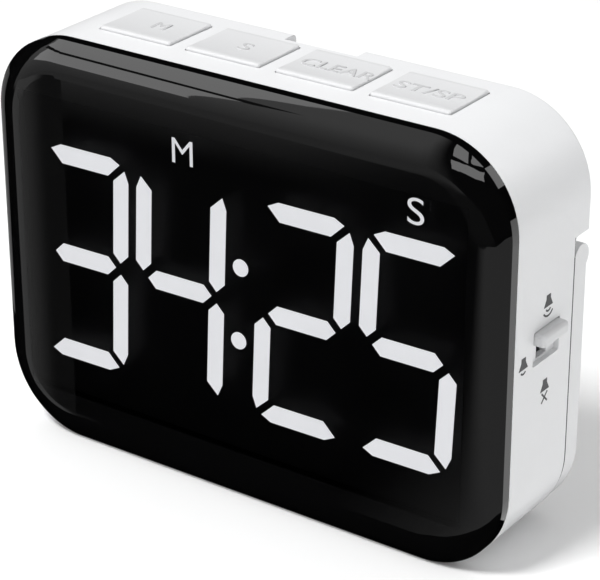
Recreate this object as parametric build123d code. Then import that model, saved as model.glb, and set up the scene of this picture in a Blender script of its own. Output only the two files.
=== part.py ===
from build123d import *

import os

os.makedirs("parts", exist_ok=True)

# Kitchen timer, in millimetres. The origin is the middle of the flat base, +Z is up and the display
# faces -Y. A depth is counted from the case's front rim towards the back, where +Y is.

# Case
case_w = 88.0
case_h = 64.5
case_d = 19.5
corner_r = 13.0
wall = 1.8
skin = 1.6
back_round = 0.8

# Clearances
slide_gap = 0.15
shaft_gap = 0.05
seat_gap = 0.1

# Front lens: a straight rim, then a domed border up to a flat front
lens_rim = 1.7
dome_w = 5.25
dome_h = 2.2
lens_side = 1.6
glue_depth = -2.0
glue_least = 0.05
window_depth = -2.6

# Display stack
frame_inset = wall + seat_gap
frame_front = -1.8
frame_back = 2.2
panel_w = 79.0
panel_h = 50.0
panel_front = -2.4
panel_back = -0.4
panel_gap = 0.2
guide_inset = 0.2
guide_low = 1.4
guide_high = 2.2
strip_h = 1.6
led_w = 3.0
led_h = 0.9
led_deep = 1.3

# Numerals: half sizes of one digit between its bar centres, and of one bar
digit_a = 6.675
digit_b = 15.93
bar_t = 1.44
upright_t = 1.35
bar_gap = 0.95
bar_shoulder = 2.0
bar_tip = 0.6
digit_slant = 0.044
digit_inner = 10.775
digit_pitch = 17.6
digit_mid_z = 31.41
digit_shift = 0.28
digit_rise = 0.011
colon_r = 1.31
colon_half = 5.8
print_t = 0.12
time_shown = ("abcdg", "bcfg", "abdeg", "acdfg")

# Boards
board_inset = 3.0
board_t = 1.2
board_screw_x = 16.0
board_screw_edge = 5.0
screw_r = 0.85
screw_head_r = 1.6
screw_head_h = 1.2
drive_w = 0.45
screw_grip = 2.6

# Case screws
boss_r = 2.9
boss_meet = 8.0
case_screw_r = 1.1
case_head_r = 2.1
case_head_h = 1.6
case_screw_tip = 3.0
upper_screw_x = 38.3
upper_screw_z = 50.6
upper_seat = 16.3
lower_screw_x = 37.5
lower_screw_z = 10.0
lower_seat = 12.9

# Top buttons and their switches
button_count = 4
button_apart = 2.77
button_w = 12.9
button_l = 10.1
button_front = 4.9
button_proud = 0.5
button_r = 0.45
button_dish = 0.2
button_edge = 0.4
button_skin = 1.2
button_flange = 0.7
button_skirt = 3.5
stem_r = 2.2
key_board_end = 3.5
key_board_l = 11.0
key_board_front = 4.3
key_board_top = 55.2
key_body = 6.0
key_body_h = 3.5
key_h = 5.0
key_plunger_r = 1.7
key_travel = 0.4
key_leg = 0.7
key_post_clear = 0.35
key_post_r = 2.5
link_count = 6
link_pitch = 2.0
link_x = -28.0
link_r = 0.32
link_drop = 2.4
link_reach = 3.0

# Volume slide switch on the right
dish_front = 4.9
dish_l = 7.0
dish_z = 31.1
dish_h = 5.2
dish_deep = 0.8
knob_h = 2.0
knob_proud = 1.7
knob_edge = 0.65
dish_edge = 0.35
lever_l = 2.4
lever_h = 1.3
lever_meet = 41.0
lever_in = 38.6
switch_x = 35.6
switch_w = 4.8
switch_l = 6.6
switch_h = 11.0

# Fold-out stand at the back
recess_floor = 15.25
arm_gap = 0.3
arm_in = 34.3
arm_pivot_z = 42.9
recess_top = 46.6
recess_round = 0.8
stand_inset = 0.1
stand_front = 15.55
bar_top = 11.0
trunnion_r = 1.45
trunnion_l = 2.6
hinge_block = 3.4
hinge_half = 3.6
thumb_r = 7.0
thumb_rise = 3.5

# Battery bay, two AAA cells one above the other
cell_r = 5.25
cell_l = 44.5
cell_nub_r = 1.9
cell_nub_l = 0.8
cell_space = 0.7
cell_float = 0.45
bay_floor_t = 1.0
bay_ledge = 2.2
bay_half = 25.0
door_t = 1.45
door_rib = 1.2
groove_count = 5
groove_w = 0.8
groove_pitch = 1.6
groove_l = 16.0
contact_t = 0.4
contact_half = 4.0
dimple_r = 2.6
tab_depth = 9.8
tab_half = 1.2
tab_reach = 3.4
coil_r = 2.7
coil_wire = 0.3
coil_turns = 2
lead_r = 0.6
lead_out = 3.6
lead_bend = 2.4

# Other parts
magnet_r = 7.0
magnet_t = 2.5
magnet_x = 26.0
magnet_z = 51.2
notch_w = 12.5
notch_x = 0.9
notch_deep = 2.9
notch_h = 7.0
notch_skin = 1.3
buzzer_r = 6.0
buzzer_h = 8.5
buzzer_clear = 0.6
buzzer_port = 1.3
sound_r = 0.7
sound_ring = 3.2
sound_count = 8
chip_w = 10.0
chip_h = 1.3
chip_x = -6.0
chip_z = 26.5
leg_count = 8
leg_pitch = 1.0
leg_w = 0.4
leg_l = 1.0
crystal_l = 10.0
crystal_w = 4.0
crystal_h = 2.8
crystal_x = -34.5
crystal_z = 32.0
can_r = 3.15
can_h = 7.0
can_x = -33.5
can_z = 20.0

# Where things meet
front_y = -case_d / 2
inner_x = case_w / 2 - wall
back_inner = case_d - wall
board_back = frame_back + board_t
recess_x = arm_in - arm_gap
recess_bar = bar_top + arm_gap
arm_r = (case_d - stand_inset - stand_front) / 2
arm_depth = stand_front + arm_r
cell_depth = case_d - stand_inset - door_t - seat_gap - cell_r
bay_floor = cell_depth - cell_r - cell_float
door_seat = case_d - stand_inset - door_t - slide_gap
bay_z = recess_bar + skin + bay_ledge
bay_h = 4 * cell_r + 3 * cell_space
lower_cell_z = bay_z + cell_space + cell_r
upper_cell_z = lower_cell_z + 2 * cell_r + cell_space
panel_low = (case_h - panel_h) / 2
guide_z = panel_low + guide_low
guide_top = panel_low + panel_h - guide_high
buzzer_z = bay_z + bay_h + bay_ledge + buzzer_clear + buzzer_r
button_pitch = button_w + button_apart
button_reach = (button_count - 1) * button_pitch / 2 + button_w / 2 + button_flange
key_post_x = button_reach + key_post_clear + key_post_r
key_board_w = 2 * (key_post_x + key_board_end)
button_mid = button_front + button_l / 2
button_top = case_h + button_proud
button_dish_half = button_l / 2 - 2 * button_edge
button_dish_r = (button_dish_half**2 + button_dish**2) / (2 * button_dish)
plunger_top = key_board_top + key_h
knob_mid = dish_front + dish_l / 2
knob_l = dish_l - 2 * slide_gap
knob_z = dish_z + dish_h - seat_gap - knob_h / 2
knob_travel = dish_h - knob_h - 2 * seat_gap
dish_x = case_w / 2 - dish_deep


def outline(inset):
    """Return the case's outline seen from the front, drawn in by an inset."""
    shape = RectangleRounded(case_w - 2 * inset, case_h - 2 * inset, corner_r - inset)
    return Pos(0, case_h / 2) * shape


def slab(shape, d0, d1):
    """Extrude a front outline between two depths."""
    return extrude(Pos(0, front_y + d0, 0) * (Plane.XZ * shape), amount=d1 - d0, dir=(0, 1, 0))


def block(x0, x1, d0, d1, z0, z1):
    """Return a box between two corners, its Y given as depths."""
    box = Box(x1 - x0, d1 - d0, z1 - z0, align=(Align.MIN, Align.MIN, Align.MIN))
    return Pos(x0, front_y + d0, z0) * box


def bar(x0, x1, depth, half_d, z, half_z):
    """Return a box that runs left to right, centred on a depth and a height."""
    return block(x0, x1, depth - half_d, depth + half_d, z - half_z, z + half_z)


def peg(x, z, radius, d0, d1):
    """Return a cylinder that runs front to back."""
    rod = Cylinder(radius, d1 - d0, align=(Align.CENTER, Align.CENTER, Align.MIN))
    return Pos(x, front_y + d0, z) * Rot(-90, 0, 0) * rod


def post(x, depth, radius, z0, z1):
    """Return a cylinder that stands upright."""
    rod = Cylinder(radius, z1 - z0, align=(Align.CENTER, Align.CENTER, Align.MIN))
    return Pos(x, front_y + depth, z0) * rod


def axle(depth, z, radius, x0, x1):
    """Return a cylinder that runs left to right."""
    rod = Cylinder(radius, x1 - x0, align=(Align.CENTER, Align.CENTER, Align.MIN))
    return Pos(x0, front_y + depth, z) * Rot(0, 90, 0) * rod


def mirrored(shape):
    """Return a shape and its mirror image across the YZ plane."""
    return [shape, mirror(shape, about=Plane.YZ)]


def case_form(inset):
    """Return the case's outside as a full solid with its back edge rounded."""
    form = slab(outline(inset), inset, case_d - inset)
    rim = form.faces().sort_by(Axis.Y)[-1].outer_wire().edges()
    return fillet(rim, back_round)


def stand_shape(inset, side, low, top):
    """Return the U of the stand or of its recess, seen from behind."""
    field = Pos(0, top / 2 - corner_r) * Rectangle(2 * case_w, top + 2 * corner_r)
    opening = Pos(0, low + case_h / 2) * Rectangle(2 * side, case_h)
    return (outline(inset) & field) - opening


def button_x(index):
    """Return the middle of a button, counted from the left."""
    return (index - (button_count - 1) / 2) * button_pitch


def front_lens():
    """Domed front cover with a rim pocket for the frame and a deeper window."""
    front = -lens_rim - dome_h
    lens = slab(outline(0), front, -seat_gap)
    path = FilletPolyline((0, 0), (case_w / 2, 0), (case_w / 2, case_h), (0, case_h), radius=corner_r)
    arc = TangentArc((front, dome_w), (-lens_rim, 0), tangent=(0, -1))
    rest = Polyline((-lens_rim, 0), (-lens_rim, -1), (front - 1, -1), (front - 1, dome_w), (front, dome_w))
    profile = make_face(arc + rest)
    place = Pos(0, front_y, 0)
    shave = sweep(place * (Plane.YZ * profile), path=place * (Plane.XZ * path))
    for side in mirrored(shave):
        lens -= side
    lens = lens - slab(outline(lens_side), glue_depth, 0)
    opening = Pos(0, case_h / 2) * Rectangle(panel_w + 2 * panel_gap, panel_h + 2 * panel_gap)
    return lens - slab(opening, window_depth, 0)


def lens_adhesive():
    """Adhesive ring between the lens and the frame."""
    opening = Pos(0, case_h / 2) * Rectangle(panel_w + 4 * panel_gap, panel_h + 4 * panel_gap)
    opening &= outline(frame_inset + panel_gap + glue_least)
    return slab(outline(frame_inset + panel_gap) - opening, glue_depth, frame_front)


def front_frame():
    """Ring that holds the display, with bosses for the board and case screws."""
    opening = Pos(0, case_h / 2) * Rectangle(panel_w + 2 * panel_gap, panel_h + 2 * panel_gap)
    frame = slab(outline(frame_inset) - opening, frame_front, frame_back)
    edge = slab(outline(frame_inset), frame_back, boss_meet)
    for x, z in ((upper_screw_x, upper_screw_z), (lower_screw_x, lower_screw_z)):
        boss = peg(x, z, boss_r, frame_back, boss_meet)
        boss += block(x, case_w / 2, frame_back, boss_meet, z - boss_r, z + boss_r)
        boss = boss & edge
        boss -= peg(x, z, case_screw_r + shaft_gap, frame_back, boss_meet)
        for side in mirrored(boss):
            frame += side
    for x in (-board_screw_x, board_screw_x):
        for z in (board_screw_edge, case_h - board_screw_edge):
            frame -= peg(x, z, screw_r + shaft_gap, frame_back - screw_grip - shaft_gap, frame_back)
    return frame


def lcd_panel():
    """Glass display panel with its polariser edges broken."""
    glass = Pos(0, case_h / 2) * Rectangle(panel_w, panel_h)
    panel = slab(glass, panel_front, panel_back)
    return chamfer(panel.edges().filter_by(Axis.Y), seat_gap)


def bar_shape(name):
    """Return one bar of an upright digit around its middle."""
    a, b, t = digit_a, digit_b, bar_t
    if name == "g":
        tip = a - bar_gap
        flat = tip - t
        return Polygon((tip, 0), (flat, t), (-flat, t), (-tip, 0), (-flat, -t), (flat, -t), align=None)
    if name in "ad":
        tip = a - bar_tip / 2
        inner = a - t - bar_gap
        top = a - bar_shoulder
        shape = Polygon(
            (-tip, b + bar_tip), (-top, b + t), (top, b + t),
            (tip, b + bar_tip), (inner, b - t), (-inner, b - t),
            align=None,
        )
        return shape if name == "a" else mirror(shape, about=Plane.XZ)
    u = upright_t
    shape = Polygon(
        (a + bar_tip, b - bar_tip / 3), (a + u, b - bar_shoulder), (a + u, bar_gap + u),
        (a, bar_gap), (a - u, bar_gap + u), (a - u, b - bar_shoulder),
        align=None,
    )
    if name in "fe":
        shape = mirror(shape, about=Plane.YZ)
    return shape if name in "bf" else mirror(shape, about=Plane.XZ)


def slanted(shape, x):
    """Return an upright display mark leant to the right and set on the panel."""
    solid = slab(shape, panel_front - print_t, panel_front)
    level = digit_mid_z + digit_rise * x
    across = [1, 0, digit_slant, x + digit_shift]
    lean = Matrix([across, [0, 1, 0, 0], [digit_rise, 0, 1, level], [0, 0, 0, 1]])
    return solid.transform_geometry(lean)


def display_segments():
    """Lit bars of the four digits and the colon."""
    marks = []
    for index, bars in enumerate(time_shown):
        side = -1 if index < 2 else 1
        outer = index in (0, 3)
        x = side * (digit_inner + (digit_pitch if outer else 0))
        for name in bars:
            marks.append(slanted(bar_shape(name), x))
    for z in (-colon_half, colon_half):
        x = digit_slant * z + digit_shift
        marks.append(peg(x, digit_mid_z + z, colon_r, panel_front - print_t, panel_front))
    return marks


def light_guide():
    """Backlight plate behind the panel."""
    half = panel_w / 2 - guide_inset
    return block(-half, half, panel_back, frame_back, guide_z, guide_top)


def backlight_leds():
    """Four small lamps on the board, under the light guide's lower edge."""
    lamps = []
    for index in range(4):
        x = (index - 1.5) * panel_w / 4
        z = guide_z - seat_gap
        lamps.append(block(x - led_w / 2, x + led_w / 2, frame_back - led_deep, frame_back, z - led_h, z))
    return lamps


def lcd_connector():
    """Elastomer strip that joins the panel's edge to the board."""
    half = panel_w / 2 - guide_high
    return block(-half, half, panel_back, frame_back, guide_top + seat_gap, guide_top + seat_gap + strip_h)


def screw(shank_r, head_r, head_h, length):
    """Return a cross-drive screw along Z, its head's underside at zero and its shank below."""
    head = Cylinder(head_r, head_h, align=(Align.CENTER, Align.CENTER, Align.MIN))
    head = fillet(head.edges().sort_by(Axis.Z)[-1], head_h / 4)
    shank = Cylinder(shank_r, length, align=(Align.CENTER, Align.CENTER, Align.MAX))
    shank = chamfer(shank.edges().sort_by(Axis.Z)[0], shank_r / 3)
    cross = Box(head_r, drive_w, head_h) + Box(drive_w, head_r, head_h)
    return head + shank - Pos(0, 0, head_h) * cross


def main_board():
    """Circuit board behind the display, cleared round the case bosses."""
    board = slab(outline(board_inset), frame_back, board_back)
    for x, z in ((upper_screw_x, upper_screw_z), (lower_screw_x, lower_screw_z)):
        reach = boss_r + arm_gap
        clear = peg(x, z, reach, frame_back, board_back)
        clear += block(x, case_w / 2, frame_back, board_back, z - reach, z + reach)
        for side in mirrored(clear):
            board -= side
    for x in (-board_screw_x, board_screw_x):
        for z in (board_screw_edge, case_h - board_screw_edge):
            board -= peg(x, z, screw_r + shaft_gap, frame_back, board_back)
    return board


def board_screws():
    """Four screws through the board into the frame."""
    one = screw(screw_r, screw_head_r, screw_head_h, board_t + screw_grip)
    group = []
    for x in (-board_screw_x, board_screw_x):
        for z in (board_screw_edge, case_h - board_screw_edge):
            group.append(Pos(x, front_y + board_back, z) * Rot(-90, 0, 0) * one)
    return group


def case_screws(x, z, seat):
    """Two screws from the back, through the case bosses into the frame."""
    one = screw(case_screw_r, case_head_r, case_head_h, seat - case_screw_tip)
    return [Pos(side * x, front_y + seat, z) * Rot(-90, 0, 0) * one for side in (-1, 1)]


def controller_chip():
    """Controller with a row of legs on two sides."""
    half = chip_w / 2
    middle = board_back + seat_gap + chip_h / 2
    chip = bar(chip_x - half, chip_x + half, middle, chip_h / 2, chip_z, half)
    for index in range(leg_count):
        x = chip_x + (index - (leg_count - 1) / 2) * leg_pitch
        leg = block(x - leg_w / 2, x + leg_w / 2, board_back, board_back + chip_h / 2, 0, leg_l)
        chip += Pos(0, 0, chip_z + half) * leg
        chip += Pos(0, 0, chip_z - half - leg_l) * leg
    return chip


def quartz_crystal():
    """Metal can of the quartz, lying on the board."""
    shape = Pos(crystal_x, crystal_z) * SlotOverall(crystal_l, crystal_w)
    can = slab(shape, board_back, board_back + crystal_h)
    return fillet(can.faces().sort_by(Axis.Y)[-1].edges(), back_round / 2)


def capacitor():
    """Round capacitor standing off the board."""
    can = peg(can_x, can_z, can_r, board_back, board_back + can_h)
    return fillet(can.edges().sort_by(Axis.Y)[-1], back_round / 2)


def piezo_buzzer():
    """Round buzzer with its port towards the sound holes."""
    body = peg(0, buzzer_z, buzzer_r, board_back, board_back + buzzer_h)
    body = fillet(body.edges().sort_by(Axis.Y)[-1], back_round / 2)
    return body - peg(0, buzzer_z, buzzer_port, board_back + buzzer_h / 2, board_back + buzzer_h)


def switch_slot(x0, x1, gap):
    """Return the space a lever of the slide switch sweeps."""
    low = knob_z - lever_h / 2 - knob_travel - gap
    high = knob_z + lever_h / 2 + gap
    return block(x0, x1, knob_mid - lever_l / 2 - gap, knob_mid + lever_l / 2 + gap, low, high)


def slide_switch_body():
    """Body of the volume switch on the board."""
    mid = knob_z - knob_travel / 2
    body = bar(switch_x, switch_x + switch_w, board_back + switch_l / 2, switch_l / 2, mid, switch_h / 2)
    return body - switch_slot(lever_in - seat_gap, switch_x + switch_w, seat_gap)


def slide_switch_lever():
    """Lever of the volume switch, up to where the knob takes over."""
    low = knob_z - lever_h / 2
    return block(lever_in, lever_meet, knob_mid - lever_l / 2, knob_mid + lever_l / 2, low, low + lever_h)


def volume_knob():
    """Small rounded knob with its shank through the case wall."""
    low = knob_z - lever_h / 2
    face = dish_x + seat_gap
    cap = bar(face, case_w / 2 + knob_proud, knob_mid, knob_l / 2, knob_z, knob_h / 2)
    outer = cap.faces().sort_by(Axis.X)[-1]
    cap = fillet(outer.edges() + cap.edges().filter_by(Axis.X), knob_edge)
    return cap + block(lever_meet, face, knob_mid - lever_l / 2, knob_mid + lever_l / 2, low, low + lever_h)


def push_button(index):
    """Hollow button with a finger dish, side flanges and a stem over its switch."""
    low = button_top - button_skirt - button_proud
    stand_up = (Align.CENTER, Align.CENTER, Align.MIN)
    body = Box(button_w, button_l, button_top - low, align=stand_up)
    body = fillet(body.edges().filter_by(Axis.Z), button_r)
    body = fillet(body.faces().sort_by(Axis.Z)[-1].edges(), button_edge)
    dish = Rot(0, 90, 0) * Cylinder(button_dish_r, 2 * button_w)
    body -= Pos(0, 0, button_top - low - button_dish + button_dish_r) * dish
    flange_h = case_h - wall - slide_gap - low
    flange = Box(button_w + 2 * button_flange, button_l - 2 * button_r, flange_h, align=stand_up)
    hollow_h = button_top - button_skin - low
    hollow = Box(button_w - 2 * button_skin, button_l - 2 * button_skin, hollow_h, align=stand_up)
    stem = Cylinder(stem_r, low + hollow_h - plunger_top, align=stand_up)
    button = Pos(0, 0, low) * (body + flange - hollow) + Pos(0, 0, plunger_top) * stem
    return Pos(button_x(index), front_y + button_mid, 0) * button


def key_plunger(index):
    """Plunger of one key switch, under its button's stem."""
    low = key_board_top + key_body_h - 2 * key_travel
    return post(button_x(index), button_mid, key_plunger_r, low, plunger_top)


def key_switches():
    """Four key switches, each with four legs and a bore for its plunger."""
    bodies = []
    half = key_body / 2
    bore_low = key_board_top + key_body_h - 3 * key_travel - seat_gap
    for index in range(button_count):
        x = button_x(index)
        body = bar(x - half, x + half, button_mid, half, key_board_top + key_body_h / 2, key_body_h / 2)
        body -= post(x, button_mid, key_plunger_r + shaft_gap, bore_low, key_board_top + key_body_h)
        for side in (x - half - key_leg, x + half):
            for depth in (button_mid - half + key_leg, button_mid + half - 2 * key_leg):
                top = key_board_top + key_leg
                body += block(side, side + key_leg, depth, depth + key_leg, key_board_top, top)
        bodies.append(body)
    return bodies


def key_board():
    """Small board under the buttons."""
    half = key_board_w / 2
    back = key_board_front + key_board_l
    board = block(-half, half, key_board_front, back, key_board_top - board_t, key_board_top)
    for x in (-key_post_x, key_post_x):
        board -= post(x, button_mid, screw_r + shaft_gap, key_board_top - board_t, key_board_top)
    return board


def key_board_screws():
    """Two screws up through the key board into the case posts."""
    one = Rot(180, 0, 0) * screw(screw_r, screw_head_r, screw_head_h, board_t + 2 * screw_grip)
    return [Pos(x, front_y + button_mid, key_board_top - board_t) * one for x in (-key_post_x, key_post_x)]


def board_link():
    """Bent pins that join the key board to the main board."""
    pins = []
    under = key_board_top - board_t
    for index in range(link_count):
        x = link_x + index * link_pitch
        path = FilletPolyline(
            (x, front_y + board_back, under - link_drop),
            (x, front_y + board_back + link_reach, under - link_drop),
            (x, front_y + board_back + link_reach, under),
            radius=3 * link_r,
        )
        pins.append(sweep(Plane(path @ 0, z_dir=path % 0) * Circle(link_r), path=path))
    return pins


def stand():
    """U-shaped stand with rounded arm ends and two inward trunnions."""
    shape = stand_shape(stand_inset, arm_in, bar_top, arm_pivot_z)
    frame = slab(shape, stand_front, case_d) & case_form(stand_inset)
    for end in mirrored(axle(arm_depth, arm_pivot_z, arm_r, arm_in, case_w / 2 - stand_inset)):
        frame += end
    for pin in mirrored(axle(arm_depth, arm_pivot_z, trunnion_r, arm_in - trunnion_l, arm_in)):
        frame += pin
    return frame - peg(0, bar_top + thumb_rise, thumb_r, stand_front, case_d)


def battery_door():
    """Cover of the battery bay, with grip grooves and a rib between the cells."""
    half = bay_half + bay_ledge - slide_gap
    low = bay_z - bay_ledge + slide_gap
    high = bay_z + bay_h + bay_ledge - slide_gap
    inner = door_seat + slide_gap
    door = block(-half, half, inner, inner + door_t, low, high)
    door = fillet(door.edges().filter_by(Axis.Y), back_round)
    for index in range(groove_count):
        z = high - 2 * groove_pitch - index * groove_pitch
        door -= block(-groove_l / 2, groove_l / 2, inner + door_t - groove_w / 2, case_d, z - groove_w, z)
    rib_z = (lower_cell_z + upper_cell_z) / 2
    rib_half = cell_l / 2 - bay_ledge
    return door + bar(-rib_half, rib_half, inner - door_rib / 2, door_rib / 2, rib_z, cell_space / 2)


def cell(z, plus):
    """One AAA cell lying across the bay, its plus end towards the given side."""
    half = cell_l / 2
    body = axle(cell_depth, z, cell_r, -half, half - cell_nub_l)
    body = fillet(body.edges().filter_by(GeomType.CIRCLE), back_round / 2)
    body += axle(cell_depth, z, cell_nub_r, half - cell_nub_l, half)
    return body if plus > 0 else mirror(body, about=Plane.YZ)


def contact(z, side, tab):
    """One contact plate on the bay's end wall, with a tab through the wall if asked."""
    wall_x = bay_half
    plate = bar(wall_x - contact_t, wall_x, cell_depth, contact_half, z, contact_half)
    if tab:
        plate += bar(wall_x, wall_x + tab_reach, tab_depth, contact_t / 2, z, tab_half)
    return plate if side > 0 else mirror(plate, about=Plane.YZ)


def dimple(z, side):
    """Return the raised pad that meets a cell's plus end."""
    pad = axle(cell_depth, z, dimple_r, cell_l / 2, bay_half - contact_t)
    return pad if side > 0 else mirror(pad, about=Plane.YZ)


def contact_plus():
    """Contact plate for the upper cell's plus end."""
    return contact(upper_cell_z, 1, True) + dimple(upper_cell_z, 1)


def contact_minus():
    """Contact plate behind the lower cell's spring."""
    return contact(lower_cell_z, 1, True)


def contact_bridge():
    """Plate that joins the two cells on the left."""
    plate = contact(upper_cell_z, -1, False) + contact(lower_cell_z, -1, False) + dimple(lower_cell_z, -1)
    x = -bay_half
    half = (upper_cell_z - lower_cell_z) / 2
    return plate + bar(x, x + contact_t, cell_depth, cell_nub_r, lower_cell_z + half, half)


def battery_springs():
    """Two coil springs against the cells' minus ends."""
    room = bay_half - contact_t - cell_l / 2
    rise = room - 2 * coil_wire - seat_gap
    path = Helix(rise / coil_turns, rise, coil_r)
    coil = sweep(Plane(path @ 0, z_dir=path % 0) * Circle(coil_wire), path=path, is_frenet=True)
    x = cell_l / 2 + coil_wire + seat_gap / 2
    right = Pos(x, front_y + cell_depth, lower_cell_z) * Rot(0, 90, 0) * coil
    left = Pos(-x, front_y + cell_depth, upper_cell_z) * Rot(0, -90, 0) * coil
    return [right, left]


def battery_lead(z):
    """Wire from a contact's tab to the main board."""
    x = bay_half + tab_reach
    path = FilletPolyline(
        (x, front_y + tab_depth, z),
        (x + lead_out, front_y + tab_depth, z),
        (x + lead_out, front_y + board_back, z),
        radius=lead_bend,
    )
    return sweep(Plane(path @ 0, z_dir=path % 0) * Circle(lead_r), path=path)


def rear_magnets():
    """Two disc magnets level with the back."""
    disc = peg(magnet_x, magnet_z, magnet_r, case_d - magnet_t, case_d)
    disc = chamfer(disc.edges().sort_by(Axis.Y)[-1], seat_gap * 2)
    return mirrored(disc)


def case_inside():
    """Return the walls and bosses moulded inside the case."""
    shape = stand_shape(wall / 2, recess_x - skin, recess_bar + skin, recess_top + skin)
    parts = slab(shape, recess_floor - skin, back_inner)
    outer = bay_half + bay_ledge
    bay_top = bay_z + bay_h + bay_ledge
    parts += block(-outer, outer, bay_floor - bay_floor_t, back_inner, bay_z - bay_ledge, bay_top)
    notch_half = notch_w / 2 + notch_skin
    notch_front = case_d - notch_deep - notch_skin
    notch_left = notch_x - notch_half
    notch_right = notch_x + notch_half
    notch_low = case_h - notch_h - notch_skin
    parts += block(notch_left, notch_right, notch_front, back_inner, notch_low, case_h - wall)
    for solid in mirrored(
        block(
            recess_x - hinge_block, recess_x, recess_floor - skin, back_inner,
            arm_pivot_z - hinge_half, arm_pivot_z + hinge_half,
        )
    ):
        parts += solid
    cup_front = case_d - magnet_t - notch_skin
    for solid in mirrored(peg(magnet_x, magnet_z, magnet_r + notch_skin, cup_front, back_inner)):
        parts += solid
    for solid in mirrored(peg(upper_screw_x, upper_screw_z, boss_r, boss_meet, back_inner)):
        parts += solid
    for solid in mirrored(peg(lower_screw_x, lower_screw_z, boss_r, boss_meet, recess_floor - skin / 2)):
        parts += solid
    for solid in mirrored(post(key_post_x, button_mid, key_post_r, key_board_top, case_h - wall)):
        parts += solid
    return parts


def case_cuts():
    """Return every opening of the case, as a list of solids to take away."""
    cuts = []
    recess = slab(stand_shape(-1, recess_x, recess_bar, recess_top), recess_floor, case_d + 1)
    corner = recess.edges().filter_by(Axis.X).group_by(Axis.Z)[-1].group_by(Axis.Y)[0]
    cuts.append(fillet(corner, recess_round))
    cuts += mirrored(axle(arm_depth, arm_pivot_z, trunnion_r + shaft_gap, recess_x - trunnion_l, recess_x))
    cuts.append(block(-bay_half, bay_half, bay_floor, case_d, bay_z, bay_z + bay_h))
    rim = bay_half + bay_ledge
    cuts.append(block(-rim, rim, door_seat, case_d + 1, bay_z - bay_ledge, bay_z + bay_h + bay_ledge))
    for z in (lower_cell_z, upper_cell_z):
        half = tab_half + seat_gap
        thick = contact_t / 2 + seat_gap
        cuts.append(block(bay_half, rim, tab_depth - thick, tab_depth + thick, z - half, z + half))
    notch_left = notch_x - notch_w / 2
    notch_low = case_h - notch_h
    notch_front = case_d - notch_deep
    cuts.append(block(notch_left, notch_left + notch_w, notch_front, case_d + 1, notch_low, case_h + 1))
    cuts += mirrored(peg(magnet_x, magnet_z, magnet_r + shaft_gap, case_d - magnet_t, case_d + 1))
    screws = ((upper_screw_x, upper_screw_z, upper_seat), (lower_screw_x, lower_screw_z, lower_seat))
    for x, z, seat in screws:
        cuts += mirrored(peg(x, z, case_screw_r + slide_gap, boss_meet, seat))
        cuts += mirrored(peg(x, z, case_head_r + slide_gap, seat, case_d + 1))
    for index in range(button_count):
        x = button_x(index)
        half = button_w / 2 + slide_gap
        back = button_front + button_l + slide_gap
        hole = block(x - half, x + half, button_front - slide_gap, back, case_h - 2 * wall, case_h + 1)
        cuts.append(fillet(hole.edges().filter_by(Axis.Z), button_r))
    for x in (-key_post_x, key_post_x):
        deep = key_board_top + 2 * screw_grip + seat_gap
        cuts.append(post(x, button_mid, screw_r + shaft_gap, key_board_top, deep))
    dish = block(dish_x, case_w, dish_front, dish_front + dish_l, dish_z, dish_z + dish_h)
    cuts.append(fillet(dish.edges().filter_by(Axis.X), dish_edge))
    cuts.append(switch_slot(inner_x - wall, case_w / 2, slide_gap))
    cuts.append(peg(0, buzzer_z, sound_r, back_inner, case_d))
    for place in PolarLocations(sound_ring, sound_count):
        spot = place.position
        cuts.append(peg(spot.X, buzzer_z + spot.Y, sound_r, back_inner, case_d))
    return cuts


def case_shell():
    """White case: sides, top and back in one moulding."""
    shell = case_form(0) - slab(outline(wall), 0, back_inner)
    shell += case_inside()
    for cut in case_cuts():
        shell -= cut
    return shell


def save(name, shape):
    """Write one sub-part."""
    solids = shape if isinstance(shape, list) else [shape]
    export_step(Compound(children=[s for item in solids for s in item.solids()]), f"parts/{name}.step")


save("case_shell", case_shell())
save("front_lens", front_lens())
save("lens_adhesive", lens_adhesive())
save("front_frame", front_frame())
save("lcd_panel", lcd_panel())
save("display_segments", display_segments())
save("light_guide", light_guide())
save("backlight_leds", backlight_leds())
save("lcd_connector", lcd_connector())
save("main_board", main_board())
save("board_screws", board_screws())
save("case_screws_upper", case_screws(upper_screw_x, upper_screw_z, upper_seat))
save("case_screws_lower", case_screws(lower_screw_x, lower_screw_z, lower_seat))
save("controller_chip", controller_chip())
save("quartz_crystal", quartz_crystal())
save("capacitor", capacitor())
save("piezo_buzzer", piezo_buzzer())
save("slide_switch_body", slide_switch_body())
save("slide_switch_lever", slide_switch_lever())
save("volume_knob", volume_knob())
for number, name in enumerate(("minutes", "seconds", "clear", "start")):
    save(f"{name}_button", push_button(number))
    save(f"{name}_plunger", key_plunger(number))
save("key_switches", key_switches())
save("key_board", key_board())
save("key_board_screws", key_board_screws())
save("board_link_pins", board_link())
save("stand", stand())
save("battery_door", battery_door())
save("battery_upper", cell(upper_cell_z, 1))
save("battery_lower", cell(lower_cell_z, -1))
save("battery_contact_plus", contact_plus())
save("battery_contact_minus", contact_minus())
save("battery_contact_bridge", contact_bridge())
save("battery_springs", battery_springs())
save("battery_lead_red", battery_lead(upper_cell_z))
save("battery_lead_black", battery_lead(lower_cell_z))
save("rear_magnets", rear_magnets())
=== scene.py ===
"""Kitchen timer: looks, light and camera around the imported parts, laid out as a Blender add-on."""

import math

import bmesh
import bpy
from bpy.props import FloatProperty, FloatVectorProperty, PointerProperty
from mathutils import Matrix, Vector


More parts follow.
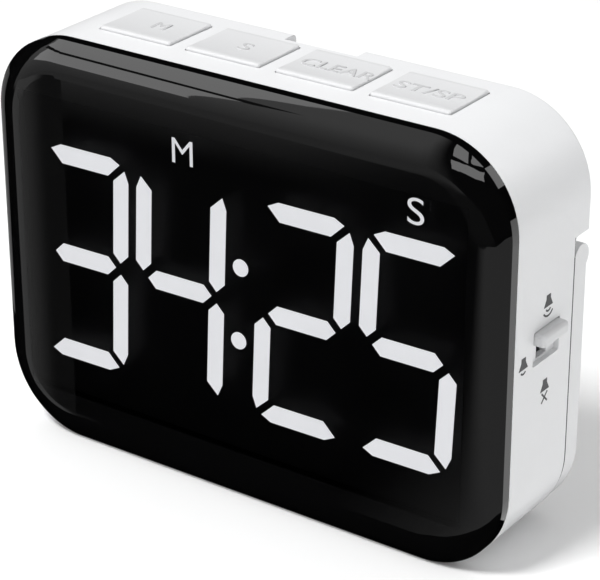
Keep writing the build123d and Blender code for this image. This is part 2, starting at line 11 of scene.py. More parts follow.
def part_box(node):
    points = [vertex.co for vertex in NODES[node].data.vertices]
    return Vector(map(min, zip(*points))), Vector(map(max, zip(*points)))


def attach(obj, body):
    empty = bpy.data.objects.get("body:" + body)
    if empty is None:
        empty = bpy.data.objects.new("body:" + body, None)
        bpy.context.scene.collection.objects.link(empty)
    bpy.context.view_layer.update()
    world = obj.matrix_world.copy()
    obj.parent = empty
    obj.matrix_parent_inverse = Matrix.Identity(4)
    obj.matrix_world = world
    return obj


bl_info = {
    "name": "Kitchen Timer",
    "version": (1, 0, 0),
    "blender": (4, 5, 0),
    "location": "3D View > Sidebar > Timer",
    "description": "Finishes, legends, light and camera for the kitchen timer",
    "category": "Object",
}

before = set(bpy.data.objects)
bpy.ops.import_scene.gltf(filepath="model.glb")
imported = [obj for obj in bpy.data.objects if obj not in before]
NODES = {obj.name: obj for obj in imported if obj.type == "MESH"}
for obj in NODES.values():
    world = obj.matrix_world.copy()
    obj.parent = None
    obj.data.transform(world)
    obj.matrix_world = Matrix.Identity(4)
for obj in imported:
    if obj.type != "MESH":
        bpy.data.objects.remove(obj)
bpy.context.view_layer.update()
CASE_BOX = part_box("case_shell")
LENS_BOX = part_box("front_lens")
PANEL_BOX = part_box("lcd_panel")

# Lengths are in metres. The cover is clear within the panel's edge, drawn in by CLEAR_BORDER, and the
# clear part mirrors only in front of LENS_FACE.
LENS_FACE = LENS_BOX[0].y + 0.0008
CLEAR_BORDER = 0.001

# Painted shade along the stand's parting line: the gap between stand and case is darkened in the colour, only
# in a thin ring along the case's outline
CORNER_R = 0.013
STAND_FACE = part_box("stand")[0].y
STAND_GAP = 0.0003
GAP_SHADE_HALF = 0.00008
GAP_SHADE_TOP = 0.0466
GAP_SHADE_RING = 0.0004
# How dark the painted shade in the gap is, as a share of the plastic's colour
GAP_SHADE_SHARE = 0.06

# Shares of the case colour
KEY_SHADE = 0.88
# The raised button letters are darker than their buttons: painted shade for the shading round the embossing
KEY_LETTER_PAINTED_SHADE = 0.74
STAND_SHADE = 0.97

# Lit colours, and how bright the lit letters are against the numerals
LIT_WHITE = (0.98, 0.99, 1.0)
LETTER_SHARE = 0.92

# Dry cell sleeve: where the coloured band and the bare ends begin and end, from the middle
CELL_BAND = (0.0125, 0.013)
CELL_TIP = (0.0215, 0.0217)

# Lit letters: text, middle across, middle height and stretch
DISPLAY_LETTERS = (("M", -0.00945, 0.05223, 1.04), ("S", 0.02950, 0.05293, 1.25))

# Button words: button, text, stretch and shift to the right
KEY_WORDS = (
    ("minutes", "M", 1.05, 0.0009),
    ("seconds", "S", 1.3, 0.0004),
    ("clear", "CLEAR", 1.13, 0.0005),
    ("start", "ST/SP", 1.3, -0.0002),
)

# Volume marks: name, depth behind the case's front rim, height and number of sound waves
VOLUME_MARKS = (("loud", 0.0085, 0.0389, 2), ("soft", 0.0024, 0.0318, 1), ("mute", 0.0085, 0.0261, 0))

# Loudspeaker mark, drawn pointing down: magnet, cone, waves and cross
MAGNET = (0.00125, 0.0009, 0.0005)
CONE = (0.00055, 0.0019, 0.0009)
CONE_NARROW = 0.48
WAVE_MIDDLE = 0.0001
WAVE_R = 0.00055
WAVE_PITCH = 0.0006
WAVE_ARC = (215, 110)
CROSS_MIDDLE = -0.00075
CROSS_L = 0.0017
LINE_W = 0.00022

# Floor, light and camera, with the camera's angles in degrees
FLOOR_HALF = 4.0
KEY_PLACE = (-0.16, -0.58, 1.04)
KEY_SIZE = 0.28
KEY_TARGET = (0, 0, 0.03)
CARD_HEIGHT = 0.06
CAMERA_PLACE = (0.187715, -0.261403, 0.181949)
CAMERA_YAW = 35.372
CAMERA_PITCH = -25.437
CAMERA_ROLL = -0.128


# Shader maths


class Value:
    """A node socket that takes part in Python arithmetic."""

    def __init__(self, look, socket):
        self.look = look
        self.socket = socket

    def maths(self, operation, *others):
        """Return a Math node's result for this value and the others."""
        return self.look.add("ShaderNodeMath", {"operation": operation}, dict(enumerate((self, *others))))

    def __add__(self, other):
        return self.maths("ADD", other)

    def __radd__(self, other):
        return self.maths("ADD", other)

    def __sub__(self, other):
        return self.maths("SUBTRACT", other)

    def __rsub__(self, other):
        return self.look.add("ShaderNodeMath", {"operation": "SUBTRACT"}, {0: other, 1: self})

    def __mul__(self, other):
        return self.maths("MULTIPLY", other)

    def __rmul__(self, other):
        return self.maths("MULTIPLY", other)

    def __gt__(self, other):
        return self.maths("GREATER_THAN", other)

    def __lt__(self, other):
        return self.maths("LESS_THAN", other)

    def __abs__(self):
        return self.maths("ABSOLUTE")


class Look:
    """A material under construction."""

    def __init__(self, name):
        self.material = bpy.data.materials.new(name)
        self.material.use_nodes = True
        self.tree = self.material.node_tree
        self.tree.nodes.clear()

    def add(self, kind, settings=None, inputs=None, out=0):
        """Add a node, set it up, feed its sockets and return one output."""
        node = self.tree.nodes.new(kind)
        for key, value in (settings or {}).items():
            setattr(node, key, value)
        for key, value in (inputs or {}).items():
            if isinstance(value, Value):
                self.tree.links.new(value.socket, node.inputs[key])
            else:
                node.inputs[key].default_value = value
        return Value(self, node.outputs[out]) if node.outputs else None

    def principled(self, inputs):
        """End the material with a Principled shader and return it."""
        return self.surface(self.add("ShaderNodeBsdfPrincipled", inputs=inputs))

    def place(self, axis=None):
        """Return the object coordinates, or one of them in metres."""
        whole = self.add("ShaderNodeTexCoord", out=3)
        if axis is None:
            return whole
        return self.add("ShaderNodeSeparateXYZ", inputs={0: whole}, out="XYZ".index(axis))

    def noise(self, scale, detail=2.0, rough=0.5, stretch=(1, 1, 1)):
        """Return a noise value from 0 to 1, its scale per metre."""
        where = self.add("ShaderNodeMapping", inputs={0: self.place(), 3: stretch})
        return self.add("ShaderNodeTexNoise", inputs={0: where, 2: scale, 3: detail, 4: rough})

    def blend(self, factor, first, second):
        """Return a colour mixed from two."""
        settings = {"data_type": "RGBA", "clamp_factor": True}
        return self.add("ShaderNodeMix", settings, {0: factor, 6: first, 7: second}, out=2)

    def span(self, value, low, high, to_low=0.0, to_high=1.0):
        """Return a value carried smoothly from one range to another."""
        settings = {"interpolation_type": "SMOOTHSTEP", "clamp": True}
        return self.add("ShaderNodeMapRange", settings, {0: value, 1: low, 2: high, 3: to_low, 4: to_high})

    def bump(self, height, strength, distance):
        """Return a normal bent by a height."""
        return self.add("ShaderNodeBump", inputs={0: strength, 1: distance, "Height": height})

    def surface(self, shader):
        """Send a shader to the output and return the material."""
        self.add("ShaderNodeOutputMaterial", inputs={0: shader})
        return self.material


def shaded(colour, factor):
    """Return a colour made lighter or darker by a factor."""
    return tuple(c * factor for c in colour)


def rgba(colour, factor=1.0):
    """Return a colour as four numbers, made lighter or darker by a factor."""
    return (*[min(1.0, c * factor) for c in colour[:3]], 1.0)


def gap_shade_mask(look, shade_gap_y):
    """Return 1 where shade is painted on the stand's parting line, within a thin ring along the case's
    outline, and 0 elsewhere.
    """
    half_w, half_h = CASE_BOX[1].x, CASE_BOX[1].z / 2
    height = look.place("Z")
    wide = (abs(look.place("X")) - (half_w - CORNER_R)).maths("MAXIMUM", 0.0)
    high = (abs(height - half_h) - (half_h - CORNER_R)).maths("MAXIMUM", 0.0)
    edge = (wide * wide + high * high) > (CORNER_R - GAP_SHADE_RING) ** 2
    return (abs(look.place("Y") - shade_gap_y) < GAP_SHADE_HALF) * (height < GAP_SHADE_TOP) * edge


def moulded(name, colour, roughness=0.42, grain=2600.0, depth=0.00001, gloss=0.4, shade_gap_y=None):
    """Moulded plastic: a fine spark texture, a faintly uneven tone and, if asked, painted shade on the
    parting-line gap at one Y.
    """
    look = Look(name)
    broad = look.noise(45.0, 3.0)
    fine = look.noise(grain, 2.0, 0.6)
    colour_in = look.blend(look.span(broad + fine * 0.2, 0.35, 0.85), rgba(colour, 0.975), rgba(colour, 1.01))
    if shade_gap_y is not None:
        # Painted shade: darken the colour along the gap at the stand's parting line
        colour_in = look.blend(gap_shade_mask(look, shade_gap_y), colour_in, rgba(colour, GAP_SHADE_SHARE))
    dull = roughness + (look.noise(160.0, 3.0) - 0.5) * 0.12 + (fine - 0.5) * 0.06
    normal = look.bump(fine, 0.35, depth)
    inputs = {"Base Color": colour_in, "Roughness": dull, "Specular IOR Level": gloss, "Normal": normal}
    return look.principled(inputs)


def cover_glass(name, clear_x, clear_low, clear_high):
    """Black gloss cover, clear over the display and printed black round it."""
    look = Look(name)
    smear = look.noise(38.0, 3.0, 0.6, (1, 1, 0.35))
    dull = look.span(smear, 0.3, 0.8, 0.012, 0.04)
    border = look.blend(smear, (0.0014, 0.0014, 0.0015, 1), (0.0019, 0.0019, 0.002, 1))
    paint = look.add(
        "ShaderNodeBsdfPrincipled",
        inputs={"Base Color": border, "Roughness": dull, "IOR": 1.5, "Specular IOR Level": 0.5},
    )
    see = look.add("ShaderNodeBsdfTransparent", inputs={0: (0.96, 0.96, 0.97, 1)})
    shine = look.add("ShaderNodeBsdfGlossy", inputs={"Color": (1, 1, 1, 1), "Roughness": dull})
    fresnel = look.add("ShaderNodeFresnel", inputs={0: 1.5})
    front = look.place("Y") < LENS_FACE
    pane = look.add("ShaderNodeMixShader", inputs={0: fresnel * front, 1: see, 2: shine})
    mid = (clear_low + clear_high) / 2
    inside_x = abs(look.place("X")) < clear_x
    inside_z = abs(look.place("Z") - mid) < (clear_high - clear_low) / 2
    return look.surface(look.add("ShaderNodeMixShader", inputs={0: inside_x * inside_z, 1: paint, 2: pane}))


def lit_mark(name, colour, strength):
    """Backlit white print, a little dimmer where the diffuser is uneven."""
    look = Look(name)
    uneven = look.noise(220.0, 2.0)
    glow = look.blend(uneven, rgba(colour, 0.93), rgba(colour, 1.0))
    inputs = {
        "Base Color": look.blend(uneven, rgba(colour, 0.1), rgba(colour, 0.12)),
        "Roughness": 0.5,
        "Emission Color": glow,
        "Emission Strength": strength,
    }
    return look.principled(inputs)


def dark_panel(name):
    """Unlit display glass, near black with a faint cell grid."""
    look = Look(name)
    grid = look.add("ShaderNodeTexWave", inputs={0: look.place(), 1: 900.0})
    tone = look.blend(grid, (0.0026, 0.0026, 0.0028, 1), (0.0036, 0.0036, 0.0038, 1))
    dull = look.span(look.noise(120.0), 0.3, 0.7, 0.35, 0.5)
    inputs = {"Base Color": tone, "Roughness": dull, "Specular IOR Level": 0.1}
    return look.principled(inputs)


def brushed(name, colour, roughness=0.3, along=(1, 60, 1)):
    """Plated or rolled metal with drawn lines."""
    look = Look(name)
    lines = look.noise(900.0, 3.0, 0.6, along)
    spots = look.noise(300.0, 3.0)
    tone = look.blend(look.span(spots, 0.4, 0.7), rgba(colour, 0.88), rgba(colour, 1.05))
    dull = roughness + (lines - 0.5) * 0.2
    inputs = {
        "Base Color": tone,
        "Roughness": dull,
        "Metallic": 1.0,
        "Normal": look.bump(lines, 0.3, 0.00001),
    }
    return look.principled(inputs)


def circuit_board(name, colour):
    """Solder mask over copper tracks, with small bare pads."""
    look = Look(name)
    tracks = look.add(
        "ShaderNodeTexBrick",
        {"offset": 0.5},
        {
            0: look.add("ShaderNodeMapping", inputs={0: look.place(), 2: (math.pi / 2, 0, 0)}),
            1: (1, 1, 1, 1),
            2: (0.8, 0.8, 0.8, 1),
            3: (0, 0, 0, 1),
            4: 260.0,
            5: 0.03,
        },
    )
    pads = look.add("ShaderNodeTexVoronoi", inputs={0: look.place(), 2: 420.0}) < 0.16
    tone = look.blend(tracks, rgba(colour, 0.7), rgba(colour, 1.25))
    shown = look.blend(pads, tone, (0.7, 0.68, 0.62, 1))
    inputs = {
        "Base Color": shown,
        "Roughness": 0.32 + look.noise(400.0) * 0.1,
        "Metallic": pads * 0.9,
        "Normal": look.bump(tracks, 0.4, 0.00002),
    }
    return look.principled(inputs)


def cell_sleeve(name, colour, bright, plus):
    """Printed sleeve of a dry cell: dark body, a coloured band at the plus end and bare ends."""
    look = Look(name)
    along = look.place("X")
    band = look.span(along * plus, *CELL_BAND)
    tip = look.span(abs(along), *CELL_TIP)
    tone = look.blend(band, rgba(colour), rgba(bright))
    shown = look.blend(tip, tone, (0.7, 0.7, 0.7, 1))
    inputs = {
        "Base Color": shown,
        "Roughness": look.span(look.noise(500.0, 3.0), 0.3, 0.7, 0.22, 0.34),
        "Metallic": tip,
        "Coat Weight": 0.3,
    }
    return look.principled(inputs)


def frosted(name, colour):
    """Light guide acrylic with a printed dot pattern."""
    look = Look(name)
    dots = look.add("ShaderNodeTexVoronoi", inputs={0: look.place(), 2: 900.0}) < 0.25
    inputs = {
        "Base Color": look.blend(dots, rgba(colour), (0.95, 0.95, 0.95, 1)),
        "Roughness": 0.25 + dots * 0.4,
        "IOR": 1.49,
    }
    return look.principled(inputs)


def studio_floor(name, colour):
    """Plain pale floor paper with a faint tooth."""
    look = Look(name)
    tooth = look.noise(900.0, 3.0)
    tone = look.blend(tooth, rgba(colour, 0.995), rgba(colour))
    inputs = {"Base Color": tone, "Roughness": 0.9, "Specular IOR Level": 0.0}
    return look.principled(inputs)


def glow_card(name, radiance, *ramps):
    """Bright card for reflections; each ramp is an axis, two places and the share of light at each."""
    look = Look(name)
    light = 1.0 - look.noise(3.0) * 0.05
    for axis, low, high, to_low, to_high in ramps:
        light = light * look.span(look.place(axis), low, high, to_low, to_high)
    inputs = {
        "Base Color": (0, 0, 0, 1),
        "Specular IOR Level": 0.0,
        "Emission Color": light,
        "Emission Strength": radiance,
    }
    return look.principled(inputs)


# Meshes


def finished(mesh_maker, name, material, body):
    """Turn a bmesh into a piece that rides on a body."""
    bmesh.ops.remove_doubles(mesh_maker, verts=mesh_maker.verts, dist=1e-7)
    bmesh.ops.recalc_face_normals(mesh_maker, faces=mesh_maker.faces)
    data = bpy.data.meshes.new(name)
    mesh_maker.to_mesh(data)
    mesh_maker.free()
    piece = bpy.data.objects.new(name, data)
    bpy.context.scene.collection.objects.link(piece)
    data.materials.append(material)
    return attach(piece, body)


def thicken(shape, deep):
    """Extrude the flat faces of a bmesh along +Z into a closed solid."""
    top = bmesh.ops.extrude_face_region(shape, geom=list(shape.faces))
    moved = [v for v in top["geom"] if isinstance(v, bmesh.types.BMVert)]
    bmesh.ops.translate(shape, verts=moved, vec=(0, 0, deep))


def add_bar(shape, x, y, wide, high, turn=0.0):
    """Add a flat bar centred at a point, turned by an angle."""
    made = bmesh.ops.create_grid(shape, x_segments=1, y_segments=1, size=0.5)["verts"]
    bmesh.ops.scale(shape, verts=made, vec=(wide, high, 1))
    bmesh.ops.rotate(shape, verts=made, cent=(0, 0, 0), matrix=Matrix.Rotation(turn, 3, "Z"))
    bmesh.ops.translate(shape, verts=made, vec=(x, y, 0))
    return made


def add_arc(shape, x, y, radius, wide, start, sweep, steps=14):
    """Add a flat arc band round a point, its angles in degrees."""
    before = set(shape.verts)
    turn = math.radians(start)
    reach = (radius - wide / 2, radius + wide / 2)
    ends = [shape.verts.new((r * math.cos(turn), r * math.sin(turn), 0)) for r in reach]
    geom = [*ends, shape.edges.new(ends)]
    angle = math.radians(sweep)
    bmesh.ops.spin(shape, geom=geom, cent=(0, 0, 0), axis=(0, 0, 1), angle=angle, steps=steps)
    made = [v for v in shape.verts if v not in before]
    bmesh.ops.translate(shape, verts=made, vec=(x, y, 0))


def letters(text, size, weight, deep):
    """Return a bmesh of raised lettering centred on the origin, in the XY plane."""
    curve = bpy.data.curves.new(text, "FONT")
    curve.body = text
    curve.size = size
    curve.align_x = "CENTER"
    curve.align_y = "CENTER"
    curve.offset = weight
    curve.extrude = deep / 2
    holder = bpy.data.objects.new(text, curve)
    bpy.context.scene.collection.objects.link(holder)
    bpy.context.view_layer.update()
    data = bpy.data.meshes.new_from_object(holder)
    bpy.data.objects.remove(holder)
    shape = bmesh.new()
    shape.from_mesh(data)
    bpy.data.meshes.remove(data)
    return shape


def laid(shape, origin, across, up):
    """Carry a bmesh from the XY plane onto a plane given by its two directions."""
    across, up = Vector(across), Vector(up)
    normal = across.cross(up)
    turn = Matrix((across, up, normal)).transposed().to_4x4()
    turn.translation = Vector(origin)
    bmesh.ops.transform(shape, matrix=turn, verts=shape.verts)
    return shape


def speaker_mark(waves):
    """Return a flat loudspeaker that points down, with sound waves or a cross under it."""
    shape = bmesh.new()
    add_bar(shape, 0, *MAGNET)
    for v in add_bar(shape, 0, *CONE):
        if v.co.y > CONE[0]:
            v.co.x *= CONE_NARROW
    for index in range(waves):
        add_arc(shape, 0, WAVE_MIDDLE, WAVE_R + WAVE_PITCH * index, LINE_W, *WAVE_ARC)
    if not waves:
        for turn in (math.pi / 4, -math.pi / 4):
            add_bar(shape, 0, CROSS_MIDDLE, CROSS_L, LINE_W, turn)
    return shape


def dress(nodes, material):
    """Put a material in every slot of some CAD nodes."""
    for node in nodes:
        piece = NODES[node]
        if not piece.material_slots:
            piece.data.materials.append(material)
        for slot in piece.material_slots:
            slot.material = material


# Stage

def surround(scene, strength):
    """Light the scene evenly, unseen in reflections."""
    world = bpy.data.worlds.new("studio")
    world.use_nodes = True
    tree = world.node_tree
    tree.nodes.clear()
    path = tree.nodes.new("ShaderNodeLightPath")
    soft = tree.nodes.new("ShaderNodeBackground")
    soft.inputs["Color"].default_value = (1, 1, 1, 1)
    soft.inputs["Strength"].default_value = strength
    dark = tree.nodes.new("ShaderNodeBackground")
    dark.inputs["Color"].default_value = (0, 0, 0, 1)
    mix = tree.nodes.new("ShaderNodeMixShader")
    out = tree.nodes.new("ShaderNodeOutputWorld")
    tree.links.new(path.outputs["Is Glossy Ray"], mix.inputs[0])
    tree.links.new(soft.outputs[0], mix.inputs[1])
    tree.links.new(dark.outputs[0], mix.inputs[2])
    tree.links.new(mix.outputs[0], out.inputs[0])
    scene.world = world


def softbox(name, place, size, power):
    """Hang a square area light that faces the timer, unseen in reflections."""
    light = bpy.data.lights.new(name, "AREA")
    light.shape = "RECTANGLE"
    light.size = size
    light.size_y = size
    light.energy = power
    lamp = bpy.data.objects.new(name, light)
    lamp.location = place
    aim = Vector(KEY_TARGET) - Vector(place)
    lamp.rotation_euler = aim.to_track_quat("-Z", "Y").to_euler()
    lamp.visible_glossy = False
    bpy.context.scene.collection.objects.link(lamp)


def card(name, corners, material):
    """Hang a set of four-cornered panes that show in reflections alone."""
    shape = bmesh.new()
    for outline in corners:
        shape.faces.new([shape.verts.new(corner) for corner in outline])
    data = bpy.data.meshes.new(name)
    shape.to_mesh(data)
    shape.free()
    data.materials.append(material)
    piece = bpy.data.objects.new(name, data)
    bpy.context.scene.collection.objects.link(piece)
    piece.visible_camera = False
    piece.visible_diffuse = False
    piece.visible_shadow = False
    piece.visible_transmission = False


def low_card(name, x0, x1, y0, y1, height, material):
    """Lay a level card just above the floor."""
    card(name, [[(x0, y0, height), (x1, y0, height), (x1, y1, height), (x0, y1, height)]], material)


def toward(azimuth, rise, far=2.0):
    """Return a point far off, its azimuth in degrees from straight ahead towards the left."""
    turn, tilt = math.radians(azimuth), math.radians(rise)
    return (-far * math.sin(turn), -far * math.cos(turn), CARD_HEIGHT + far * math.tan(tilt))


def pane(left, right, low, high, slant=0.0, far=2.0):
    """Return the corners of one upright pane, given as azimuths and elevations."""
    ends = ((left, low), (right, low), (right + slant, high), (left, high))
    return [toward(azimuth, rise, far) for azimuth, rise in ends]


def hang_cards():
    """Hang the windows, walls and strips that the glossy cover mirrors."""
    front_fades = (("Y", -0.145, -0.112, 1.0, 0.0), ("X", -0.085, -0.04, 1.0, 0.15))
    low_cards = (
        ("front", (-0.3, 0.1, -0.6, -0.1), 0.0002, 0.34, front_fades),
        ("right", (0.01, 0.3, -0.125, -0.02), 0.0004, 0.45, (("X", 0.01, 0.055, 0.0, 1.0),)),
        ("left", (-0.5, -0.078, -0.005, 0.4), 0.0006, 0.3, ()),
        ("rim", (0.045, 0.4, 0.0, 0.4), 0.0008, 1.2, ()),
    )
    for name, extent, height, radiance, fades in low_cards:
        low_card(f"card_{name}", *extent, height, glow_card(f"{name}_glow", radiance, *fades))
    near = [(-0.07, -0.059), (-0.102, -0.05)]
    near = [(*near[0], -0.04), (*near[1], -0.04), (*near[1], 0.045), (*near[0], 0.045)]
    card("card_side", [near], glow_card("side_glow", 0.55, ("X", -0.0795, -0.073, 1.0, 0.1)))
    wall = glow_card("wall_glow", 0.9, ("X", -1.3, -0.5, 1.0, 0.0), ("Z", -0.55, 1.5, 0.4, 1.0))
    card("card_wall", [pane(66, 10, -14, 54, far=2.6)], wall)
    card("card_bar", [pane(63, 37, 23.5, 28, far=2.05)], glow_card("bar_dark", 0.05))
    window = glow_card("window_glow", 3.1)
    card("card_window", [pane(59, 35.5, 7, 24, 2.0), pane(64, 39, 27.5, 50, 13.0)], window)
    leaning = [toward(10, 15), toward(-28, 26), toward(-31, 36), toward(9, 29)]
    far_panes = [pane(7, -12, 37, 57), pane(-17, -34, 40, 54), leaning]
    card("card_far_window", far_panes, glow_card("far_glow", 3.4))
    card("card_back_window", [pane(-140, -158, 18, 42)], glow_card("back_glow", 2.2))


def camera(scene, lens):
    """Place the camera and make it the scene's own."""
    data = bpy.data.cameras.new("camera")
    data.sensor_width = 36
    data.lens = lens
    data.clip_start = 0.01
    data.clip_end = 20
    eye = bpy.data.objects.new("camera", data)
    yaw, pitch, roll = (math.radians(angle) for angle in (CAMERA_YAW, CAMERA_PITCH, CAMERA_ROLL))
    ahead = Vector((-math.sin(yaw) * math.cos(pitch), math.cos(yaw) * math.cos(pitch), math.sin(pitch)))
    right = Vector((math.cos(yaw), math.sin(yaw), 0))
    up = right.cross(ahead)
    across = math.cos(roll) * right + math.sin(roll) * up
    above = -math.sin(roll) * right + math.cos(roll) * up
    pose = Matrix((across, above, -ahead)).transposed().to_4x4()
    pose.translation = Vector(CAMERA_PLACE)
    eye.matrix_world = pose
    scene.collection.objects.link(eye)
    scene.camera = eye


# Settings


class CaseSettings(bpy.types.PropertyGroup):
    """Colours and finish of the moulded parts."""

    white: FloatVectorProperty(
        name="Case colour",
        description="Colour of the moulded case",
        subtype="COLOR",
        default=(0.80, 0.805, 0.815),
        size=3,
    )
    roughness: FloatProperty(
        name="Roughness", description="How matt the mouldings are", default=0.42, min=0.05, max=1.0
    )
    black: FloatVectorProperty(
        name="Hidden black",
        description="Colour of the black inner mouldings",
        subtype="COLOR",
        default=(0.012, 0.012, 0.013),
        size=3,
    )


class LegendSettings(bpy.types.PropertyGroup):
    """Sizes of the legends."""

    display_letter: FloatProperty(
        name="Display letter", description="Height of the lit letters", default=0.0056, unit="LENGTH"
    )
    key_letter: FloatProperty(
        name="Key letter",
        description="Size of the raised letters on the buttons",
        default=0.0036,
        unit="LENGTH",
    )
    raised: FloatProperty(
        name="Raised", description="Height of the raised letters", default=0.00022, unit="LENGTH"
    )
    sunk: FloatProperty(
        name="Sunk",
        description="How far the raised letters stay below the buttons' edge",
        default=0.00005,
        unit="LENGTH",
    )
    print_thick: FloatProperty(
        name="Ink", description="Thickness of the printed marks", default=0.00003, unit="LENGTH"
    )
    thin: FloatProperty(
        name="Thin",
        description="How far the lit letters' outlines move outwards, or inwards below zero",
        default=-0.00003,
        unit="LENGTH",
    )
    mark_scale: FloatProperty(
        name="Mark scale", description="Size of the volume marks", default=1.25, min=0.5, max=2.0
    )
    glow: FloatProperty(
        name="Glow", description="Brightness of the lit numerals", default=0.84, min=0.0, max=5.0
    )


class StageSettings(bpy.types.PropertyGroup):
    """Light and camera."""

    key_power: FloatProperty(
        name="Key", description="Power of the main softbox", default=10.5, unit="POWER"
    )
    fill: FloatProperty(
        name="Fill", description="Strength of the surrounding light", default=0.6, min=0.0, max=5.0
    )
    lens: FloatProperty(
        name="Lens", description="Focal length of the camera", default=146.289, unit="CAMERA"
    )


# Operators


class TIMER_OT_finish_case(bpy.types.Operator):
    """Give the case, stand, door, buttons and knob their moulded plastics"""

    bl_idname = "timer.finish_case"
    bl_label = "Finish the mouldings"

    def execute(self, context):
        settings = context.scene.timer_case
        white, rough = settings.white, settings.roughness
        # Painted shade along the parting-line gap: on the case's recess floor and on the stand's front face
        case = moulded("case_plastic", white, rough, shade_gap_y=STAND_FACE - STAND_GAP)
        dress(("case_shell", "battery_door"), case)
        dress(("stand",), moulded("stand_plastic", shaded(white, STAND_SHADE), rough, shade_gap_y=STAND_FACE))
        keys = moulded("key_plastic", shaded(white, KEY_SHADE), rough - 0.06, 3200.0, 0.000006)
        dress(("minutes_button", "seconds_button", "clear_button", "start_button", "volume_knob"), keys)
        black = moulded("inner_plastic", settings.black, 0.5)
        dress(("front_frame", "key_switches", "slide_switch_body"), black)
        dress(("piezo_buzzer", "controller_chip", "capacitor"), black)
        grey = moulded("plunger_plastic", (0.15, 0.15, 0.155), 0.4)
        dress(("minutes_plunger", "seconds_plunger", "clear_plunger", "start_plunger"), grey)
        dress(("slide_switch_lever",), grey)
        return {"FINISHED"}


class TIMER_OT_finish_display(bpy.types.Operator):
    """Give the cover, the display and its lit bars their finishes"""

    bl_idname = "timer.finish_display"
    bl_label = "Finish the display"

    def execute(self, context):
        glow = context.scene.timer_legend.glow
        side, bottom, top = PANEL_BOX[1].x, PANEL_BOX[0].z, PANEL_BOX[1].z
        clear = (side - CLEAR_BORDER, bottom + CLEAR_BORDER, top - CLEAR_BORDER)
        dress(("front_lens",), cover_glass("cover_gloss", *clear))
        dress(("lcd_panel",), dark_panel("display_glass"))
        dress(("display_segments",), lit_mark("lit_numerals", LIT_WHITE, glow))
        dress(("light_guide",), frosted("light_guide_acrylic", (0.85, 0.9, 0.9)))
        dress(("backlight_leds",), lit_mark("lamp_white", (1, 0.97, 0.85), 0.5))
        foam = moulded("foam_black", (0.02, 0.02, 0.02), 0.85, 1500.0, 0.00004, 0.1)
        dress(("lens_adhesive", "lcd_connector"), foam)
        return {"FINISHED"}


class TIMER_OT_finish_inside(bpy.types.Operator):
    """Give the boards, metal parts, cells and wires their finishes"""

    bl_idname = "timer.finish_inside"
    bl_label = "Finish the inside"

    def execute(self, context):
        dress(("main_board", "key_board"), circuit_board("solder_mask", (0.02, 0.2, 0.09)))
        steel = brushed("zinc_steel", (0.6, 0.6, 0.58))
        dress(("board_screws", "case_screws_upper", "case_screws_lower"), steel)
        dress(("key_board_screws", "board_link_pins"), steel)
        nickel = brushed("nickel_plate", (0.72, 0.7, 0.66), 0.2, (1, 1, 40))
        dress(("quartz_crystal", "battery_springs"), nickel)
        dress(("battery_contact_plus", "battery_contact_minus", "battery_contact_bridge"), nickel)
        dress(("rear_magnets",), brushed("magnet_plate", (0.55, 0.55, 0.55), 0.24, (20, 1, 1)))
        for node, plus in (("battery_upper", 1), ("battery_lower", -1)):
            dress((node,), cell_sleeve("cell_sleeve", (0.03, 0.035, 0.04), (0.62, 0.36, 0.12), plus))
        dress(("battery_lead_red",), moulded("red_insulation", (0.5, 0.02, 0.02), 0.45, 1500.0))
        dress(("battery_lead_black",), moulded("black_insulation", (0.02, 0.02, 0.02), 0.45, 1500.0))
        return {"FINISHED"}


class TIMER_OT_add_display_letters(bpy.types.Operator):
    """Add the two lit letters over the minutes and the seconds"""

    bl_idname = "timer.add_display_letters"
    bl_label = "Display letters"

    def execute(self, context):
        settings = context.scene.timer_legend
        ink = lit_mark("lit_letters", LIT_WHITE, settings.glow * LETTER_SHARE)
        front = PANEL_BOX[0].y - settings.print_thick / 2
        for text, x, z, wide in DISPLAY_LETTERS:
            shape = letters(text, settings.display_letter, settings.thin, settings.print_thick)
            bmesh.ops.scale(shape, verts=shape.verts, vec=(wide, 1, 1))
            laid(shape, (x, front, z), (1, 0, 0), (0, 0, 1))
            finished(shape, f"display_letter_{text}", ink, "case")
        return {"FINISHED"}


class TIMER_OT_add_key_letters(bpy.types.Operator):
    """Raise a short generic word on each button"""

    bl_idname = "timer.add_key_letters"
    bl_label = "Button letters"

    def execute(self, context):
        settings = context.scene.timer_legend
        white = context.scene.timer_case.white
        # Painted shade: the raised letters get a darker copy of the case colour, standing in for the shade
        # round the embossing
        plastic = moulded("key_letter_painted_shade", shaded(white, KEY_LETTER_PAINTED_SHADE), 0.4)
        for node, text, wide, shift in KEY_WORDS:
            low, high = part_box(f"{node}_button")
            shape = letters(text, settings.key_letter, 0.0, settings.raised)
            bmesh.ops.scale(shape, verts=shape.verts, vec=(wide, 1, 1))
            level = high.z - settings.sunk - settings.raised / 2
            middle = ((low.x + high.x) / 2 + shift, (low.y + high.y) / 2, level)
            laid(shape, middle, (1, 0, 0), (0, 1, 0))
            finished(shape, f"key_letter_{node}", plastic, f"{node}_key")
        return {"FINISHED"}


class TIMER_OT_add_volume_marks(bpy.types.Operator):
    """Print a loudspeaker mark at each position of the volume slider"""

    bl_idname = "timer.add_volume_marks"
    bl_label = "Volume marks"

    def execute(self, context):
        settings = context.scene.timer_legend
        ink = moulded("grey_ink", (0.075, 0.075, 0.08), 0.6)
        side = CASE_BOX[1].x
        front = CASE_BOX[0].y
        for name, depth, z, waves in VOLUME_MARKS:
            shape = speaker_mark(waves)
            bmesh.ops.scale(shape, verts=shape.verts, vec=(settings.mark_scale, settings.mark_scale, 1))
            thicken(shape, settings.print_thick)
            laid(shape, (side, front + depth, z), (0, 1, 0), (0, 0, 1))
            finished(shape, f"volume_mark_{name}", ink, "case")
        return {"FINISHED"}


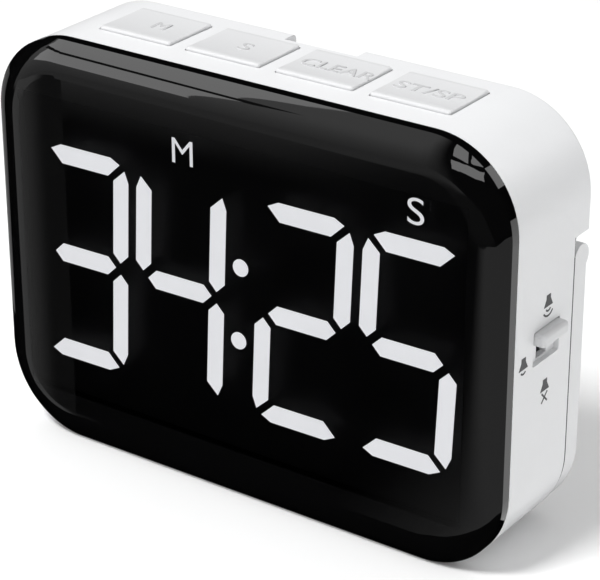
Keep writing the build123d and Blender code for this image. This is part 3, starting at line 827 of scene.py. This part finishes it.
class TIMER_OT_set_stage(bpy.types.Operator):
    """Lay the floor, hang the lights and place the camera"""

    bl_idname = "timer.set_stage"
    bl_label = "Stage"

    def execute(self, context):
        settings = context.scene.timer_stage
        floor_mesh = bmesh.new()
        bmesh.ops.create_grid(floor_mesh, x_segments=2, y_segments=2, size=FLOOR_HALF)
        data = bpy.data.meshes.new("floor")
        floor_mesh.to_mesh(data)
        floor_mesh.free()
        floor = bpy.data.objects.new("floor", data)
        data.materials.append(studio_floor("floor_paper", (0.95, 0.95, 0.95)))
        context.scene.collection.objects.link(floor)
        floor.visible_glossy = False
        surround(context.scene, settings.fill)
        softbox("key", KEY_PLACE, KEY_SIZE, settings.key_power)
        hang_cards()
        camera(context.scene, settings.lens)
        context.scene.view_settings.view_transform = "Standard"
        return {"FINISHED"}


class TIMER_PT_panel(bpy.types.Panel):
    """Kitchen timer in the 3D view's sidebar"""

    bl_idname = "TIMER_PT_panel"
    bl_label = "Kitchen timer"
    bl_space_type = "VIEW_3D"
    bl_region_type = "UI"
    bl_category = "Timer"

    def draw(self, context):
        for group in (context.scene.timer_case, context.scene.timer_legend, context.scene.timer_stage):
            box = self.layout.box()
            for name in group.__annotations__:
                box.prop(group, name)
        for step in STEPS:
            self.layout.operator(step.bl_idname)


STEPS = (
    TIMER_OT_finish_case,
    TIMER_OT_finish_display,
    TIMER_OT_finish_inside,
    TIMER_OT_add_display_letters,
    TIMER_OT_add_key_letters,
    TIMER_OT_add_volume_marks,
    TIMER_OT_set_stage,
)
GROUPS = {"timer_case": CaseSettings, "timer_legend": LegendSettings, "timer_stage": StageSettings}


def register():
    for group in GROUPS.values():
        bpy.utils.register_class(group)
    for name, group in GROUPS.items():
        setattr(bpy.types.Scene, name, PointerProperty(type=group))
    for part in (*STEPS, TIMER_PT_panel):
        bpy.utils.register_class(part)


def unregister():
    for part in reversed((*STEPS, TIMER_PT_panel)):
        bpy.utils.unregister_class(part)
    for name in GROUPS:
        delattr(bpy.types.Scene, name)
    for group in reversed(list(GROUPS.values())):
        bpy.utils.unregister_class(group)


def main():
    """Run every step in order."""
    register()
    for step in STEPS:
        group, name = step.bl_idname.split(".")
        getattr(getattr(bpy.ops, group), name)()
    bpy.context.view_layer.update()


if __name__ == "__main__":
    main()
